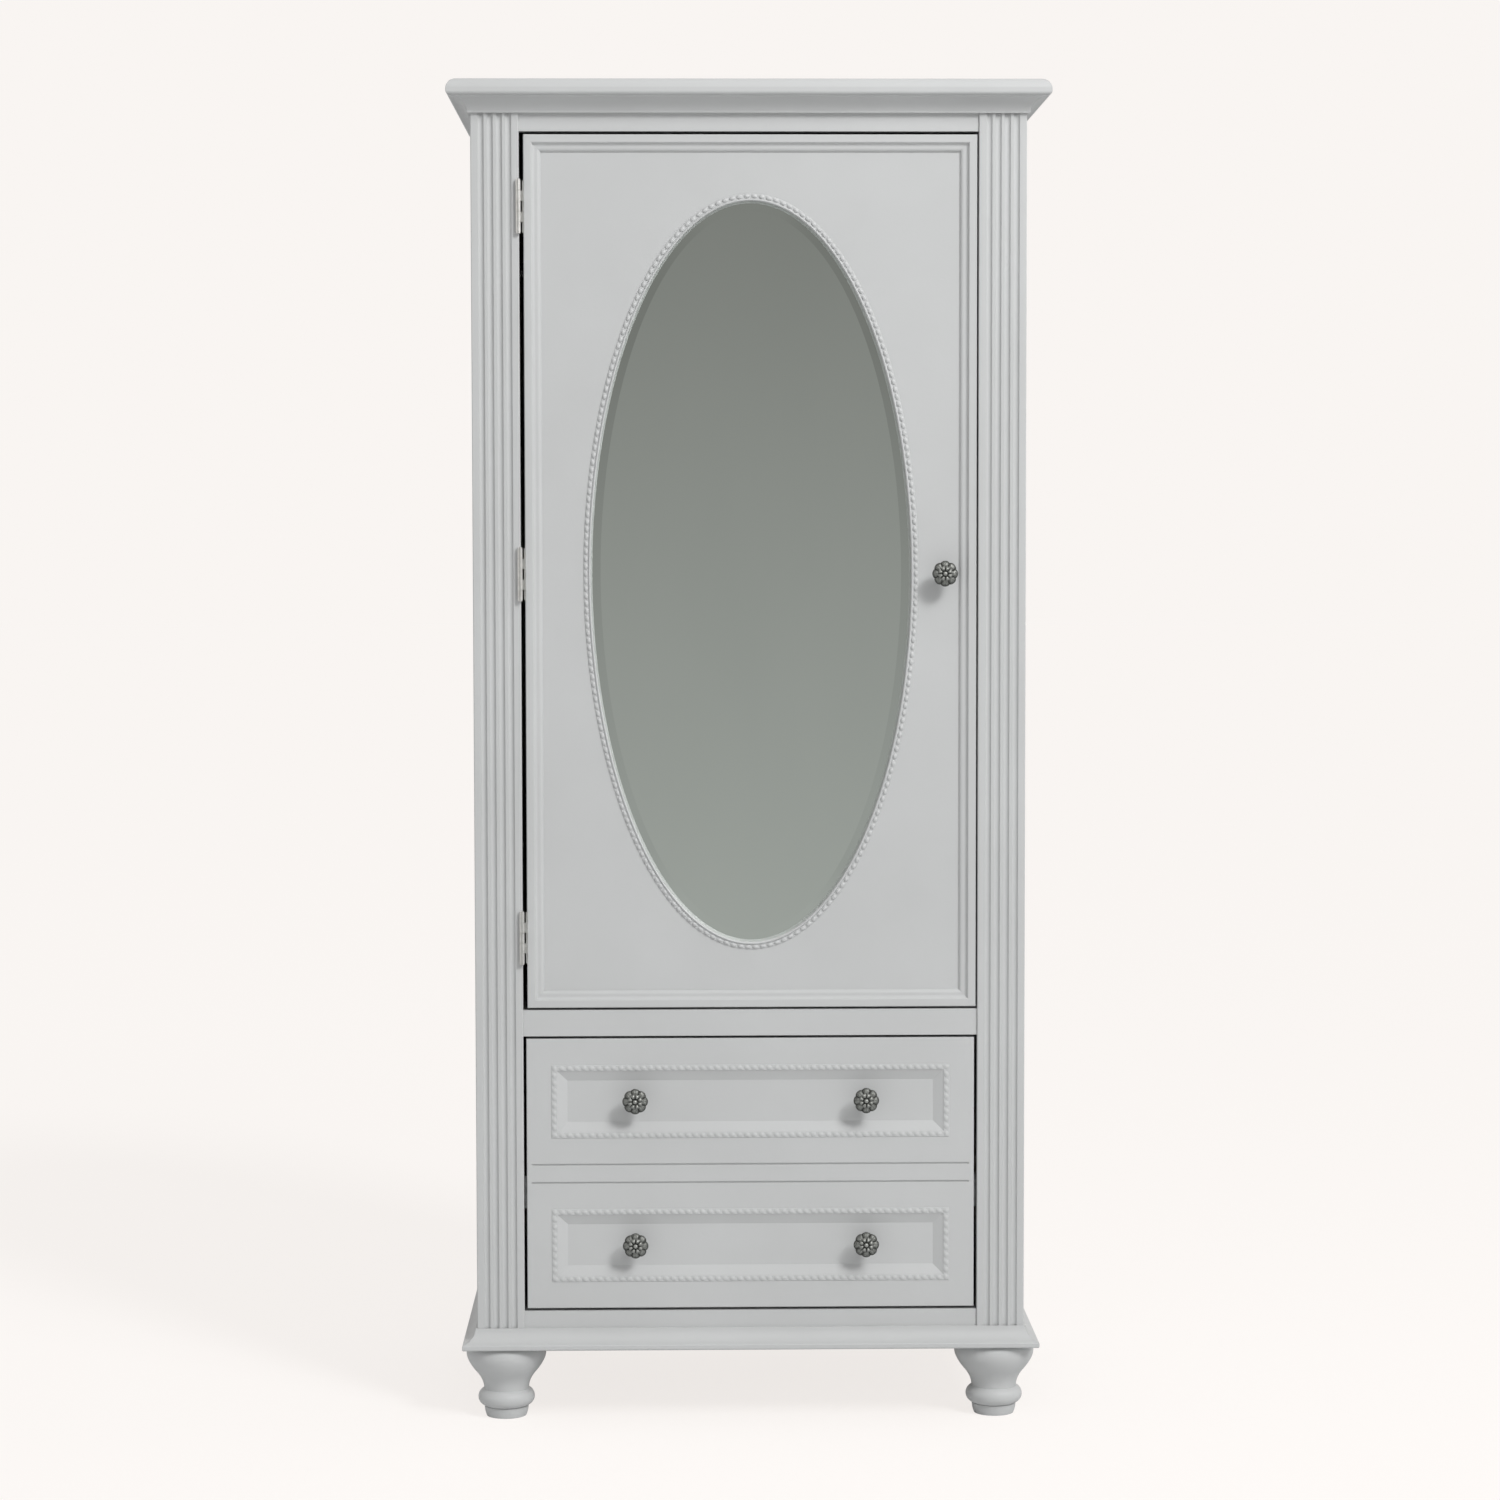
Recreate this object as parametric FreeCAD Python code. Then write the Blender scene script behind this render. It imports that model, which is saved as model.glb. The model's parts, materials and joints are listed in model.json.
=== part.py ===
import FreeCAD, Part
import math
import os

# Free-standing armoire: one mirrored door over one deep drawer, on four turned feet.
# Millimetres. X runs to the right, -Y is the front, +Z is up.
# The origin is on the floor under the middle of the overall box.

Vector = FreeCAD.Vector
X_AXIS = Vector(1, 0, 0)
Y_AXIS = Vector(0, 1, 0)
Z_AXIS = Vector(0, 0, 1)
SIDES = {"left": -1, "right": 1}

# ---- overall sizes -------------------------------------------------------------------
overall_height = 1829.0
carcass_width = 752.0
carcass_depth = 528.0
foot_height = 101.0
crown_overhang = 31.0
base_overhang = 20.0

# ---- boards --------------------------------------------------------------------------
board = 18.0
back_thickness = 6.0
back_rebate = 9.0
back_side_gap = 0.5
eased_edge = 1.5

# ---- front frame ---------------------------------------------------------------------
pilaster_width = 65.0
pilaster_thickness = 21.0
pilaster_proud = 3.0
flute_count = 4
flute_pitch = 12.4
flute_width = 8.2
flute_depth = 2.8
bottom_rail_height = 51.0
drawer_opening_height = 380.0
mid_rail_height = 36.0
top_rail_height = 50.0
base_moulding_height = 28.0
crown_height = 44.0

# ---- door ----------------------------------------------------------------------------
hinge_side_gap = 6.0
latch_side_gap = 2.0
door_top_gap = 4.0
door_bottom_gap = 3.0
door_slab = 16.0
door_moulding_width = 23.5
door_moulding_height = 9.0
mirror_margin = 88.4
mirror_rebate = 7.0
mirror_bevel = 20.0
mirror_bevel_drop = 2.4
mirror_edge = 2.6
mirror_backing_thickness = 5.0
mirror_edge_clearance = 0.6
glass_bedding = 0.1
bead_ring_width = 9.6
bead_height = 4.2
bead_rounding = 3.0
clip_count = 8
clip_length = 28.0
clip_width = 14.0
clip_overlap = 9.0
clip_thickness = 1.5

# ---- hinges --------------------------------------------------------------------------
hinge_length = 70.0
hinge_end_margin = 97.0
hinge_knuckles = 5
knuckle_gap = 0.4
barrel_radius = 3.4
barrel_outboard = 0.7
barrel_clearance = 0.3
leaf_thickness = 1.5
leaf_inset = 1.0
strap_clearance = 0.4
pin_radius = 1.7
pin_fit = 0.05
pin_head_radius = 2.9
pin_head_height = 1.6

# ---- drawer --------------------------------------------------------------------------
drawer_side_gap = 4.0
drawer_end_gap = 3.5
drawer_front_thickness = 21.0
mock_strip_height = 25.0
groove_width = 2.2
groove_depth = 1.6
groove_end_margin = 7.0
bead_margin_side = 38.0
bead_margin_end = 40.5
bead_strip_width = 8.0
recess_slope = 14.0
recess_depth = 6.0
drawer_board = 15.0
drawer_box_clearance = 16.0
drawer_box_headroom = 44.0
drawer_back_gap = 48.0
drawer_bottom_thickness = 6.0
drawer_bottom_height = 12.0
drawer_groove_depth = 8.0
drawer_groove_fit = 0.1
drawer_groove_end_gap = 1.0

# ---- telescopic slides ---------------------------------------------------------------
slide_thickness = 13.0
slide_height = 45.0
slide_sheet = 1.2
slide_gap = 0.3
slide_above_box_bottom = 145.0
packer_height = 90.0

# ---- knobs ---------------------------------------------------------------------------
knob_radius = 17.5
knob_length = 33.0
knob_foot_radius = 9.0
knob_neck_radius = 6.0
knob_rim_radius = 14.5
knob_dome_height = 3.2
knob_bore_depth = 14.0
knob_from_door_edge = 44.0
drawer_knob_spacing = 316.0
drawer_knob_raise = 3.0

# ---- feet ----------------------------------------------------------------------------
foot_inset = 38.0
foot_back_margin = 2.0
foot_radius = 55.0
foot_neck_radius = 31.0
foot_ring_radius = 39.0
foot_neck_z = 38.0
foot_disc_z = 13.5
# Outline of the bulb, as shares of its height down from the top and of its swell over the neck.
foot_bulb = [(0.0, 0.62), (0.095, 0.95), (0.22, 1.0), (0.41, 0.83),
             (0.555, 0.575), (0.72, 0.235), (0.88, 0.045), (1.0, 0.0)]
foot_block = 100.0
foot_bolt_radius = 4.0
foot_bolt_depth = 45.0

# ---- inside the wardrobe -------------------------------------------------------------
shelf_below_top = 160.0
shelf_front_setback = 20.0
shelf_side_gap = 2.0
shelf_hole_rows = 5
shelf_hole_pitch = 32.0
shelf_hole_inset = 50.0
shelf_pin_radius = 2.5
shelf_pin_fit = 0.05
shelf_hole_depth = 9.0
shelf_pin_projection = 9.0
rod_radius = 12.5
rod_wall = 1.5
rod_below_shelf = 60.0
rod_fit = 0.1
socket_flange_radius = 24.0
socket_flange = 3.0
socket_wall = 3.0
socket_depth = 13.0

# ---- catch ---------------------------------------------------------------------------
catch_length = 52.0
catch_reach = 24.0
catch_body_depth = 14.0
catch_body_width = 40.0
catch_ear = 18.0
catch_ear_thickness = 3.0
strike_width = 18.0
strike_length = 44.0
strike_thickness = 1.2
catch_gap = 0.3

# ---- screws --------------------------------------------------------------------------
screw_fit = 0.05
screw_head_radius = 3.0
screw_shank_radius = 1.5
screw_head_depth = 1.2
screw_end_room = 0.5
short_screw = 12.0
long_screw = 20.0
knob_screw_radius = 2.0
knob_screw_head_radius = 4.5
knob_screw_head = 2.4
back_screws_per_side = 6

# ---- planes and levels worked out from the sizes above --------------------------------
half_width = carcass_width / 2
overall_depth = carcass_depth + crown_overhang
back_y = overall_depth / 2
face_y = back_y - carcass_depth
rail_face_y = face_y + pilaster_proud
frame_back_y = face_y + pilaster_thickness
back_panel_y = back_y - back_thickness
inner_half = half_width - board
opening_half = half_width - pilaster_width

drawer_opening_z = foot_height + bottom_rail_height
mid_rail_z = drawer_opening_z + drawer_opening_height
door_opening_z = mid_rail_z + mid_rail_height
top_board_z = overall_height - board
top_rail_z = top_board_z - top_rail_height
crown_z = overall_height - crown_height

door_left = -opening_half + hinge_side_gap
door_right = opening_half - latch_side_gap
door_low = door_opening_z + door_bottom_gap
door_high = top_rail_z - door_top_gap
door_mid_x = (door_left + door_right) / 2
door_mid_z = (door_low + door_high) / 2
door_field_y = rail_face_y + door_moulding_height
door_back_y = door_field_y + door_slab

mirror_half_width = (door_right - door_left) / 2 - mirror_margin
mirror_half_height = (door_high - door_low) / 2 - mirror_margin
mirror_cover = mirror_rebate - mirror_edge_clearance
glass_edge_y = door_back_y - mirror_backing_thickness - mirror_edge
mirror_seat_y = glass_edge_y - mirror_bevel_drop * mirror_cover / mirror_bevel - glass_bedding

hinge_x = -opening_half - barrel_outboard
hinge_y = face_y - barrel_radius - barrel_clearance
hinge_levels = [door_high - hinge_end_margin, door_mid_z, door_low + hinge_end_margin]
knuckle_length = (hinge_length - knuckle_gap * (hinge_knuckles - 1)) / hinge_knuckles

drawer_half = opening_half - drawer_side_gap
drawer_low = drawer_opening_z + drawer_end_gap
drawer_high = mid_rail_z - drawer_end_gap
drawer_mid_z = (drawer_low + drawer_high) / 2
drawer_back_y = rail_face_y + drawer_front_thickness
section_height = (drawer_high - drawer_low - mock_strip_height) / 2
section_levels = [drawer_low + section_height / 2, drawer_high - section_height / 2]
recess_floor_y = rail_face_y + recess_depth
bead_half_width = drawer_half - bead_margin_side
bead_half_height = section_height / 2 - bead_margin_end

box_half = opening_half - slide_thickness
box_inner = box_half - drawer_board
box_low = drawer_opening_z + drawer_box_clearance
box_high = mid_rail_z - drawer_box_headroom
box_front_y = drawer_back_y + drawer_board
box_end_y = back_panel_y - drawer_back_gap
slide_z = box_low + slide_above_box_bottom

foot_x = half_width - foot_inset
foot_front_y = face_y + foot_inset
foot_back_y = back_y - foot_radius - foot_back_margin

shelf_z = top_board_z - shelf_below_top
shelf_front_y = frame_back_y + shelf_front_setback
rod_z = shelf_z - rod_below_shelf
rod_y = (frame_back_y + back_panel_y) / 2
shelf_hole_columns = [shelf_front_y + shelf_hole_inset, back_panel_y - shelf_hole_inset]
catch_z = door_mid_z
door_knob_seat = (door_right - knob_from_door_edge, door_field_y, door_mid_z)


# ---- small helpers -------------------------------------------------------------------
def box(x0, x1, y0, y1, z0, z1):
    """Block between two corners; each pair may be given in either order."""
    low = Vector(min(x0, x1), min(y0, y1), min(z0, z1))
    return Part.makeBox(abs(x1 - x0), abs(y1 - y0), abs(z1 - z0), low)


def section(place, start, *steps):
    """Flat face: a step is an end point, or a (middle, end) pair for an arc."""
    edges = []
    here = start
    for step in steps + (start,):
        if isinstance(step[0], tuple):
            middle, end = step
            edges.append(Part.Arc(place(*here), place(*middle), place(*end)).toShape())
        else:
            end = step
            edges.append(Part.LineSegment(place(*here), place(*end)).toShape())
        here = end
    return Part.Face(Part.Wire(edges))


def prism(points, along):
    """Solid made by pulling a closed polygon of points along a vector."""
    return Part.Face(Part.makePolygon(points + [points[0]])).extrude(along)


def ellipse_face(half_x, half_z, y):
    """Upright oval about the middle of the door."""
    centre = Vector(door_mid_x, y, door_mid_z)
    curve = Part.Ellipse(centre + Z_AXIS * half_z, centre + X_AXIS * half_x, centre)
    return Part.Face(Part.Wire(curve.toShape()))


def ellipse_slab(grow, y0, y1):
    """Oval slab whose outline stands grow outside the visible mirror."""
    face = ellipse_face(mirror_half_width + grow, mirror_half_height + grow, y0)
    return face.extrude(Y_AXIS * (y1 - y0))


def edges_in_plane(shape, y):
    """Edges that lie wholly in the plane at y."""
    found = []
    for edge in shape.Edges:
        bounds = edge.BoundBox
        if abs(bounds.YMin - y) < 1e-4 and abs(bounds.YMax - y) < 1e-4:
            found.append(edge)
    return found


def ease_front(shape, y, radius):
    """Rounds the edges of a board's front face."""
    return shape.makeFillet(radius, edges_in_plane(shape, y))


def boxes_meet(one, other):
    return one.BoundBox.intersect(other.BoundBox)


# ---- screws --------------------------------------------------------------------------
def countersunk(seat, inward, length, grow=0.0):
    """Wood screw whose flat head is flush with the surface at seat."""
    head = Part.makeCone(screw_head_radius + grow, screw_shank_radius + grow, screw_head_depth,
                         seat, inward)
    shank = Part.makeCylinder(screw_shank_radius + grow, length, seat, inward)
    return head.fuse(shank).removeSplitter()


def knob_screw(seat, inward, length, grow=0.0):
    """Machine screw with a raised head that stands on the surface at seat."""
    head = Part.makeCylinder(knob_screw_head_radius, knob_screw_head, seat, inward * -1)
    shank = Part.makeCylinder(knob_screw_radius + grow, length, seat, inward)
    return shank if grow else head.fuse(shank).removeSplitter()


def hinge_screw_levels(level):
    reach = hinge_length / 2 - knuckle_length / 2
    return [level - reach, level, level + reach]


def carcass_screw_places():
    """Seats of the screws that hold the back, hinges, slides, rod and catch."""
    places = []
    rise = (top_board_z - foot_height) / back_screws_per_side
    for side in SIDES.values():
        for row in range(back_screws_per_side):
            x = side * (inner_half + back_rebate / 2)
            seat = Vector(x, back_y, foot_height + rise * (row + 0.5))
            places.append((seat, Y_AXIS * -1, long_screw))
        for step in (0.1, 0.5, 0.9):
            y = frame_back_y + step * (box_end_y - frame_back_y)
            seat = Vector(side * (opening_half - slide_sheet), y, slide_z)
            places.append((seat, X_AXIS * side, short_screw))
        for lift in (-1, 1):
            z = rod_z + lift * (socket_flange_radius + rod_radius + socket_wall) / 2
            seat = Vector(side * (inner_half - socket_flange), rod_y, z)
            places.append((seat, X_AXIS * side, short_screw))
    for level in (drawer_opening_z - board / 2, door_opening_z - board / 2):
        for x in (-inner_half / 2, 0, inner_half / 2):
            places.append((Vector(x, back_y, level), Y_AXIS * -1, long_screw))
    leaf_y = (rail_face_y + frame_back_y) / 2
    for level in hinge_levels:
        for z in hinge_screw_levels(level):
            seat = Vector(-opening_half + leaf_thickness, leaf_y, z)
            places.append((seat, X_AXIS * -1, short_screw))
    for lift in (-1, 1):
        x = opening_half + catch_body_width - catch_reach + catch_ear / 2
        seat = Vector(x, frame_back_y + catch_ear_thickness, catch_z + lift * catch_length / 4)
        places.append((seat, Y_AXIS * -1, short_screw))
    return places


def door_screw_places():
    """Seats of the screws in the door: hinge leaves, mirror clips and strike plate."""
    places = []
    leaf_y = (door_field_y + door_back_y) / 2
    for level in hinge_levels:
        for z in hinge_screw_levels(level):
            places.append((Vector(door_left - leaf_thickness, leaf_y, z), X_AXIS, long_screw))
    for seat, outward in clip_places():
        middle = seat + outward * (clip_length / 2 - clip_overlap / 2)
        places.append((middle + Y_AXIS * clip_thickness, Y_AXIS * -1, short_screw))
    for lift in (-1, 1):
        z = catch_z + lift * strike_length / 3
        seat = Vector(strike_middle_x(), door_back_y + strike_thickness, z)
        places.append((seat, Y_AXIS * -1, short_screw))
    return places


def drawer_screw_places():
    """Seats of the screws in the drawer: slide members and the applied front."""
    places = []
    for side in SIDES.values():
        for step in (0.15, 0.5, 0.85):
            y = drawer_back_y + step * (box_end_y - drawer_back_y)
            seat = Vector(side * (box_half + slide_sheet), y, slide_z)
            places.append((seat, X_AXIS * -side, short_screw))
        for z in section_levels:
            x = side * (drawer_knob_spacing / 2 + box_inner) / 2
            places.append((Vector(x, box_front_y, z), Y_AXIS * -1, long_screw))
    return places


def drawer_knob_seats():
    seats = []
    for z in section_levels:
        for side in SIDES.values():
            seats.append((side * drawer_knob_spacing / 2, recess_floor_y, z + drawer_knob_raise))
    return seats


def knob_screw_places(seats, inside_y):
    """A knob's screw enters from the inside face and ends in the knob's bore."""
    places = []
    for x, y, z in seats:
        length = inside_y - y + knob_bore_depth - screw_end_room
        places.append((Vector(x, inside_y, z), Y_AXIS * -1, length))
    return places


def screws_and_holes(wood_places, knob_places):
    """Screws, and the slightly larger shapes that drill whatever they pass through."""
    screws = []
    holes = []
    for seat, inward, length in wood_places:
        screws.append(countersunk(seat, inward, length))
        holes.append(countersunk(seat, inward, length + screw_end_room, screw_fit))
    for seat, inward, length in knob_places:
        screws.append(knob_screw(seat, inward, length))
        holes.append(knob_screw(seat, inward, length + screw_end_room, screw_fit))
    return screws, holes


def drilled(shape, holes):
    """The shape with every hole that reaches it."""
    reaching = [hole for hole in holes if boxes_meet(shape, hole)]
    return shape.cut(reaching) if reaching else shape


# ---- carcass -------------------------------------------------------------------------
def side_panel(side):
    """Side board, rebated for the back and bored for the shelf pins."""
    panel = box(side * inner_half, side * half_width, frame_back_y, back_y, foot_height, top_board_z)
    rebate = box(side * inner_half, side * (inner_half + back_rebate), back_panel_y, back_y,
                 foot_height, top_board_z)
    holes = []
    for y in shelf_hole_columns:
        for row in range(shelf_hole_rows):
            z = shelf_z - shelf_pin_radius - row * shelf_hole_pitch
            centre = Vector(side * inner_half, y, z)
            if abs(z - rod_z) > socket_flange_radius or abs(y - rod_y) > socket_flange_radius:
                hole = Part.makeCylinder(shelf_pin_radius, shelf_hole_depth, centre, X_AXIS * side)
                holes.append(hole)
    return panel.cut([rebate] + holes)


def back_panel():
    reach = inner_half + back_rebate - back_side_gap
    return box(-reach, reach, back_panel_y, back_y, drawer_opening_z - board, top_board_z)


def top_panel():
    return box(-half_width, half_width, face_y, back_y, top_board_z, overall_height)


def level_board(top_z):
    """Board between the sides whose upper face is at top_z."""
    return box(-inner_half, inner_half, frame_back_y, back_panel_y, top_z - board, top_z)


def pilaster(side):
    """Upright post with hollow flutes down its face."""
    post = box(side * opening_half, side * half_width, face_y, frame_back_y, foot_height, top_board_z)
    front_edges = edges_in_plane(post, face_y)
    uprights = [edge for edge in front_edges if edge.BoundBox.ZLength > pilaster_width]
    post = post.makeFillet(eased_edge, uprights)
    flute_radius = (flute_width ** 2 / 4 + flute_depth ** 2) / (2 * flute_depth)
    flutes = []
    middle = side * (half_width + opening_half) / 2
    for index in range(flute_count):
        x = middle + (index - (flute_count - 1) / 2) * flute_pitch
        foot = Vector(x, face_y - flute_radius + flute_depth, foot_height)
        flutes.append(Part.makeCylinder(flute_radius, top_board_z - foot_height, foot, Z_AXIS))
    return post.cut(flutes)


def rail(z0, z1):
    """Cross member between the pilasters, set back from their faces."""
    return box(-opening_half, opening_half, rail_face_y, frame_back_y, z0, z1)


# ---- mouldings that wrap the carcass ---------------------------------------------------
def crown_section(place):
    """Rounded lip over a cove, standing on a small square edge."""
    lip = crown_overhang
    top = overall_height
    low = crown_z
    return section(place, (0.0, low), (4.5, low), (4.5, low + 3.0),
                   ((12.0, low + 16.0), (lip - 4.5, low + 20.5)), (lip - 4.5, low + 22.0),
                   ((lip - 1.2, low + 23.4), (lip, low + 26.2)),
                   ((lip - 3.6, top - 5.0), (lip - 12.0, top)), (0.0, top))


def base_section(place):
    """Cove that flares out to a rounded foot edge."""
    lip = base_overhang
    low = foot_height
    top = foot_height + base_moulding_height
    return section(place, (0.0, low), (lip - 2.5, low), ((lip - 0.7, low + 0.8), (lip, low + 2.6)),
                   (lip, low + 6.0), ((lip - 0.5, low + 7.4), (lip - 1.8, low + 8.2)),
                   ((7.0, low + 15.5), (2.5, top)), (0.0, top))


def wrap_front(make_section, overhang, z0, z1):
    """Front run of a wrapping moulding, mitred at both ends, with a tongue to the rails."""
    reach = half_width + overhang
    run = make_section(lambda out, z: Vector(-reach, face_y - out, z)).extrude(X_AXIS * 2 * reach)
    plan = [Vector(-half_width, face_y, z0), Vector(half_width, face_y, z0),
            Vector(reach, face_y - overhang, z0), Vector(-reach, face_y - overhang, z0)]
    tongue = box(-opening_half, opening_half, face_y, rail_face_y, z0, min(z1, top_board_z))
    return run.common(prism(plan, Z_AXIS * (z1 - z0))).fuse(tongue).removeSplitter()


def wrap_side(make_section, overhang, z0, z1, side):
    """Side run of a wrapping moulding, mitred at the front and square at the back."""
    front = face_y - overhang
    run = make_section(lambda out, z: Vector(side * (half_width + out), front, z))
    run = run.extrude(Y_AXIS * (back_y - front))
    reach = side * (half_width + overhang)
    plan = [Vector(side * half_width, face_y, z0), Vector(reach, front, z0),
            Vector(reach, back_y, z0), Vector(side * half_width, back_y, z0)]
    return run.common(prism(plan, Z_AXIS * (z1 - z0)))


# ---- feet ----------------------------------------------------------------------------
def foot(x, y):
    """Turned foot: a full bulb, a neck, a ring and a small disc on the floor."""
    def place(radius, z):
        return Vector(x + radius, y, z)
    swell = foot_radius - foot_neck_radius
    outline = [place(foot_neck_radius + out * swell, foot_height - down * (foot_height - foot_neck_z))
               for down, out in foot_bulb]
    bulb = Part.BSplineCurve()
    bulb.interpolate(outline)
    ring = Part.Arc(place(foot_neck_radius, foot_neck_z),
                    place(foot_ring_radius, (foot_neck_z + foot_disc_z) / 2 + 1.0),
                    place(foot_neck_radius - 2.0, foot_disc_z + 1.0))
    disc = Part.Arc(place(foot_neck_radius - 0.6, foot_disc_z),
                    place(foot_neck_radius - 1.4, foot_disc_z / 2),
                    place(foot_neck_radius - 3.6, 0.0))
    edges = [bulb.toShape(), ring.toShape(),
             Part.LineSegment(ring.EndPoint, disc.StartPoint).toShape(), disc.toShape(),
             Part.LineSegment(disc.EndPoint, place(0, 0)).toShape(),
             Part.LineSegment(place(0, 0), place(0, foot_height)).toShape(),
             Part.LineSegment(place(0, foot_height), outline[0]).toShape()]
    solid = Part.Face(Part.Wire(edges)).revolve(Vector(x, y, 0), Z_AXIS, 360)
    return solid.cut(foot_bolt(x, y, screw_fit))


def foot_bolt(x, y, grow=0.0):
    """Bolt up the middle of a foot and its block."""
    start = Vector(x, y, foot_height - foot_bolt_depth)
    top = drawer_opening_z - board - start.z
    return Part.makeCylinder(foot_bolt_radius + grow, top, start, Z_AXIS)


def corner_block(x, y):
    """Block under the bottom board that a foot is bolted to."""
    outer_x = math.copysign(inner_half, x)
    inner_x = math.copysign(inner_half - foot_block, x)
    outer_y = frame_back_y if y < 0 else back_panel_y
    inner_y = outer_y + foot_block if y < 0 else outer_y - foot_block
    block = box(inner_x, outer_x, inner_y, outer_y, foot_height, drawer_opening_z - board)
    return block.cut(foot_bolt(x, y, screw_fit))


# ---- wardrobe fittings -----------------------------------------------------------------
def hat_shelf():
    reach = inner_half - shelf_side_gap
    return box(-reach, reach, shelf_front_y, back_panel_y, shelf_z, shelf_z + board)


def shelf_pin_group():
    pins = []
    length = shelf_hole_depth + shelf_pin_projection
    for side in SIDES.values():
        for y in shelf_hole_columns:
            start = Vector(side * (inner_half - shelf_pin_projection), y, shelf_z - shelf_pin_radius)
            pins.append(Part.makeCylinder(shelf_pin_radius - shelf_pin_fit, length, start, X_AXIS * side))
    return Part.makeCompound(pins)


def hanging_rod():
    reach = inner_half - socket_flange
    start = Vector(-reach, rod_y, rod_z)
    tube = Part.makeCylinder(rod_radius, 2 * reach, start, X_AXIS)
    return tube.cut(Part.makeCylinder(rod_radius - rod_wall, 2 * reach, start, X_AXIS))


def rod_sockets():
    sockets = []
    for side in SIDES.values():
        start = Vector(side * inner_half, rod_y, rod_z)
        inward = X_AXIS * -side
        flange = Part.makeCylinder(socket_flange_radius, socket_flange, start, inward)
        cup = Part.makeCylinder(rod_radius + socket_wall, socket_depth, start, inward)
        seat = start + inward * socket_flange
        mouth = Part.makeCylinder(rod_radius + rod_fit, socket_depth, seat, inward)
        sockets.append(flange.fuse(cup).removeSplitter().cut(mouth))
    return Part.makeCompound(sockets)


def magnetic_catch():
    """Catch on the back of the right pilaster, reaching in behind the door's edge."""
    face = door_back_y + strike_thickness + catch_gap
    left = opening_half - catch_reach
    right = left + catch_body_width
    low = catch_z - catch_length / 2
    high = catch_z + catch_length / 2
    body = box(left, right, face, face + catch_body_depth, low, high)
    leg = box(opening_half, right, frame_back_y, face, low, high)
    ear = box(right, right + catch_ear, frame_back_y, frame_back_y + catch_ear_thickness, low, high)
    return body.fuse([leg, ear]).removeSplitter()


def strike_middle_x():
    return door_right - strike_width / 2 - 2 * latch_side_gap


def strike_plate():
    middle = strike_middle_x()
    return box(middle - strike_width / 2, middle + strike_width / 2, door_back_y,
               door_back_y + strike_thickness, catch_z - strike_length / 2, catch_z + strike_length / 2)


# ---- hinges --------------------------------------------------------------------------
def knuckle_span(level, index):
    low = level - hinge_length / 2 + index * (knuckle_length + knuckle_gap)
    return low, low + knuckle_length


def hinge_leaf(level, plate, strap_boxes, first):
    """Plate with every second knuckle of the barrel, joined to it by straps."""
    leaf = plate
    for index in range(first, hinge_knuckles, 2):
        low, high = knuckle_span(level, index)
        knuckle = Part.makeCylinder(barrel_radius, high - low, Vector(hinge_x, hinge_y, low), Z_AXIS)
        leaf = leaf.fuse([knuckle] + [box(*plan, low, high) for plan in strap_boxes])
    foot_of_bore = Vector(hinge_x, hinge_y, level - hinge_length / 2)
    bore = Part.makeCylinder(pin_radius + pin_fit, hinge_length, foot_of_bore)
    return leaf.cut(bore).removeSplitter()


def frame_leaf(level):
    """Leaf on the pilaster's inner edge."""
    near = -opening_half
    far = -opening_half + leaf_thickness
    low = level - hinge_length / 2
    high = level + hinge_length / 2
    plate = box(near, far, face_y + leaf_inset, frame_back_y - leaf_inset, low, high)
    straps = [(near, far, hinge_y, face_y + leaf_inset)]
    return hinge_leaf(level, plate, straps, 0)


def door_leaf(level):
    """Leaf on the door's edge, stepped forward and across the gap to the barrel."""
    near = door_left - leaf_thickness
    low = level - hinge_length / 2
    high = level + hinge_length / 2
    plate = box(near, door_left, rail_face_y + leaf_inset, door_back_y - leaf_inset, low, high)
    across_y = face_y - strap_clearance
    straps = [(hinge_x, door_left, across_y - leaf_thickness, across_y),
              (near, door_left, across_y, rail_face_y + leaf_inset)]
    return hinge_leaf(level, plate, straps, 1)


def hinge_pin(level):
    low = level - hinge_length / 2
    shaft = Part.makeCylinder(pin_radius, hinge_length, Vector(hinge_x, hinge_y, low))
    heads = []
    for start, way in ((low, -1), (low + hinge_length, 1)):
        centre = Vector(hinge_x, hinge_y, start)
        heads.append(Part.makeCylinder(pin_head_radius, pin_head_height, centre, Z_AXIS * way))
    return shaft.fuse(heads).removeSplitter()


# ---- door ----------------------------------------------------------------------------
def door_panel():
    """Slab with an oval window, rebated from behind for the glass and its backing."""
    slab = box(door_left, door_right, door_field_y, door_back_y, door_low, door_high)
    window = ellipse_slab(0.0, door_field_y, door_back_y)
    rebate = ellipse_slab(mirror_rebate, mirror_seat_y, door_back_y)
    return slab.cut([window, rebate])


def door_moulding_section(place):
    """Broad flat rim, a cove, a narrow flat and a rounded fall to the field."""
    width = door_moulding_width
    top = door_moulding_height
    return section(place, (0.0, 0.0), (0.0, top - 1.5), ((0.44, top - 0.44), (1.5, top)), (9.6, top),
                   ((10.8, top - 0.4), (11.4, top - 1.4)), ((12.9, top - 3.7), (15.6, top - 4.7)),
                   (17.8, top - 4.7), ((20.6, top - 5.6), (22.6, top - 8.2)), (width, top - 8.4),
                   (width, 0.0))


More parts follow.
